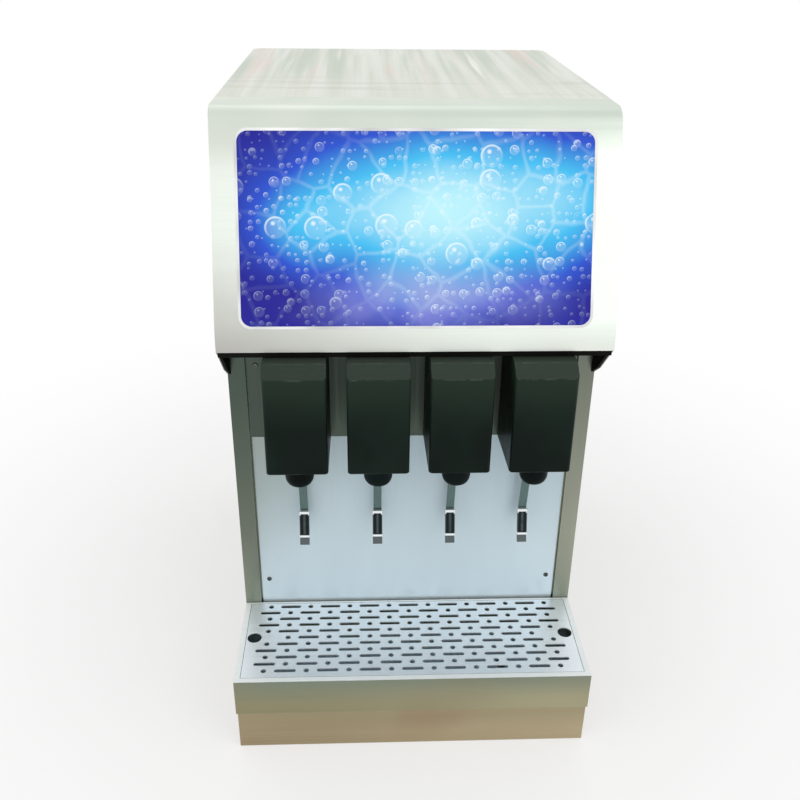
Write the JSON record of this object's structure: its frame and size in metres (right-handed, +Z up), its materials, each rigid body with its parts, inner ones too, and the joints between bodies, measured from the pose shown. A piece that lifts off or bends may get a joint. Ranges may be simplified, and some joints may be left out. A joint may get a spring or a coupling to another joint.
{
  "type": "soda fountain machine",
  "caption": "Counter-top post-mix soda fountain with push-lever valves, a lit curved head, a splash panel and a lift-off perforated drip tray.",
  "frame": {"origin": "on the counter, under the middle of the cabinet's box", "axes": "+Z up, the valves face -Y, +X to the right of a person facing the valves"},
  "size_m": [0.44, 0.65, 0.76],
  "materials": {
    "base_steel": "satin brushed sheet",
    "cabinet_steel": "satin brushed sheet",
    "fascia_steel": "pale satin sheet",
    "lid_steel": "pale satin sheet",
    "tray_steel": "satin brushed sheet",
    "grille_steel": "bright perforated sheet",
    "splash_steel": "bright sheet",
    "valve_plate_steel": "grey sheet",
    "polished_steel": "polished",
    "screw_steel": "dark screw head",
    "cover_plastic": "semi-gloss moulded black",
    "nozzle_plastic": "semi-gloss moulded black",
    "chin_plastic": "satin moulded black",
    "pad_rubber": "smooth black",
    "foot_rubber": "matt black",
    "lit_acrylic": "printed acrylic, lit from behind",
    "trim_plastic": "white gloss",
    "white_plastic": "white moulded",
    "dark_plastic": "dark moulded",
    "switch_plastic": "red rocker",
    "grey_metal": "painted grey",
    "black_metal": "painted black",
    "copper_tube": "bare tube",
    "brass_fitting": "turned",
    "stainless_tube": "bare stainless",
    "fin_metal": "finned"
  },
  "bodies": {
    "cabinet": {"base_pan": "base_steel", "rubber_feet": "foot_rubber", "left_side_panel": "cabinet_steel", "right_side_panel": "cabinet_steel", "back_panel": "cabinet_steel", "connection_plate": "cabinet_steel", "front_fascia": "fascia_steel", "panel_trim": "trim_plastic", "light_panel": "lit_acrylic", "light_box": "white_plastic", "led_strips": "white_plastic", "chin_valance": "chin_plastic", "valve_plate": "valve_plate_steel", "splash_panel": "splash_steel", "panel_screws": "screw_steel", "drain_outlet": "dark_plastic", "lever_pins": "polished_steel", "lever_springs": "stainless_tube", "valve_solenoids": "copper_tube", "microswitches": "dark_plastic", "flow_adjusters": "brass_fitting", "water_bath": "white_plastic", "evaporator_coil": "copper_tube", "product_coil": "stainless_tube", "carbonator": "stainless_tube", "agitator_motor": "grey_metal", "refrigeration_deck": "cabinet_steel", "compressor": "black_metal", "condenser": "fin_metal", "fan_motor": "grey_metal", "pump_motor": "grey_metal", "inlet_stubs": "brass_fitting", "power_inlet": "dark_plastic", "valve_cover_1": "cover_plastic", "valve_body_1": "dark_plastic", "valve_cover_2": "cover_plastic", "valve_body_2": "dark_plastic", "valve_cover_3": "cover_plastic", "valve_body_3": "dark_plastic", "valve_cover_4": "cover_plastic", "valve_body_4": "dark_plastic"},
    "drip_tray": {"drip_tray": "tray_steel"},
    "drip_grille": {"drip_grille": "grille_steel"},
    "top_lid": {"top_lid": "lid_steel"},
    "fan": {"fan_blade": "fin_metal"},
    "agitator": {"agitator_impeller": "stainless_tube"},
    "power_rocker": {"power_switch": "switch_plastic"},
    "thermostat": {"thermostat_knob": "dark_plastic"},
    "lever_1": {"lever_1": "polished_steel", "lever_pad_1": "pad_rubber"},
    "nozzle_1": {"nozzle_1": "nozzle_plastic"},
    "lever_2": {"lever_2": "polished_steel", "lever_pad_2": "pad_rubber"},
    "nozzle_2": {"nozzle_2": "nozzle_plastic"},
    "lever_3": {"lever_3": "polished_steel", "lever_pad_3": "pad_rubber"},
    "nozzle_3": {"nozzle_3": "nozzle_plastic"},
    "lever_4": {"lever_4": "polished_steel", "lever_pad_4": "pad_rubber"},
    "nozzle_4": {"nozzle_4": "nozzle_plastic"}
  },
  "joints": [
    {"name": "lever_1_push", "type": "hinge", "parent": "cabinet", "child": "lever_1", "pos_m": [-0.13475, -0.212, 0.38], "axis": [1, 0, 0], "range_deg": [0, 7], "stiffness_Nm_per_rad": 0.4, "springref_deg": -2.86},
    {"name": "lever_2_push", "type": "hinge", "parent": "cabinet", "child": "lever_2", "pos_m": [-0.04225, -0.212, 0.38], "axis": [1, 0, 0], "range_deg": [0, 7], "stiffness_Nm_per_rad": 0.4, "springref_deg": -2.86},
    {"name": "lever_3_push", "type": "hinge", "parent": "cabinet", "child": "lever_3", "pos_m": [0.05025, -0.212, 0.38], "axis": [1, 0, 0], "range_deg": [0, 7], "stiffness_Nm_per_rad": 0.4, "springref_deg": -2.86},
    {"name": "lever_4_push", "type": "hinge", "parent": "cabinet", "child": "lever_4", "pos_m": [0.14275, -0.212, 0.38], "axis": [1, 0, 0], "range_deg": [0, 7], "stiffness_Nm_per_rad": 0.4, "springref_deg": -2.86},
    {"name": "nozzle_1_twist", "type": "hinge", "parent": "cabinet", "child": "nozzle_1", "pos_m": [-0.13475, -0.24, 0.372], "axis": [0, 0, 1], "range_deg": [0, 60]},
    {"name": "nozzle_2_twist", "type": "hinge", "parent": "cabinet", "child": "nozzle_2", "pos_m": [-0.04225, -0.24, 0.372], "axis": [0, 0, 1], "range_deg": [0, 60]},
    {"name": "nozzle_3_twist", "type": "hinge", "parent": "cabinet", "child": "nozzle_3", "pos_m": [0.05025, -0.24, 0.372], "axis": [0, 0, 1], "range_deg": [0, 60]},
    {"name": "nozzle_4_twist", "type": "hinge", "parent": "cabinet", "child": "nozzle_4", "pos_m": [0.14275, -0.24, 0.372], "axis": [0, 0, 1], "range_deg": [0, 60]},
    {"name": "drip_tray_lift", "type": "slide", "parent": "cabinet", "child": "drip_tray", "axis": [0, 0, 1], "range_m": [0, 0.06]},
    {"name": "drip_grille_lift", "type": "slide", "parent": "drip_tray", "child": "drip_grille", "axis": [0, 0, 1], "range_m": [0, 0.04]},
    {"name": "top_lid_lift", "type": "slide", "parent": "cabinet", "child": "top_lid", "axis": [0, 0, 1], "range_m": [0, 0.08]},
    {"name": "fan_spin", "type": "hinge", "parent": "cabinet", "child": "fan", "pos_m": [0.06, 0.259, 0.521], "axis": [0, 1, 0], "continuous": true},
    {"name": "agitator_spin", "type": "hinge", "parent": "cabinet", "child": "agitator", "pos_m": [0.068, 0.001, 0.3], "axis": [0, 0, 1], "continuous": true},
    {"name": "power_rocker_tilt", "type": "hinge", "parent": "cabinet", "child": "power_rocker", "pos_m": [-0.105, 0.3075, 0.102], "axis": [1, 0, 0], "range_deg": [-10, 10]},
    {"name": "thermostat_turn", "type": "hinge", "parent": "cabinet", "child": "thermostat", "pos_m": [-0.05, 0.2995, 0.102], "axis": [0, 1, 0], "range_deg": [0, 270]}
  ]
}
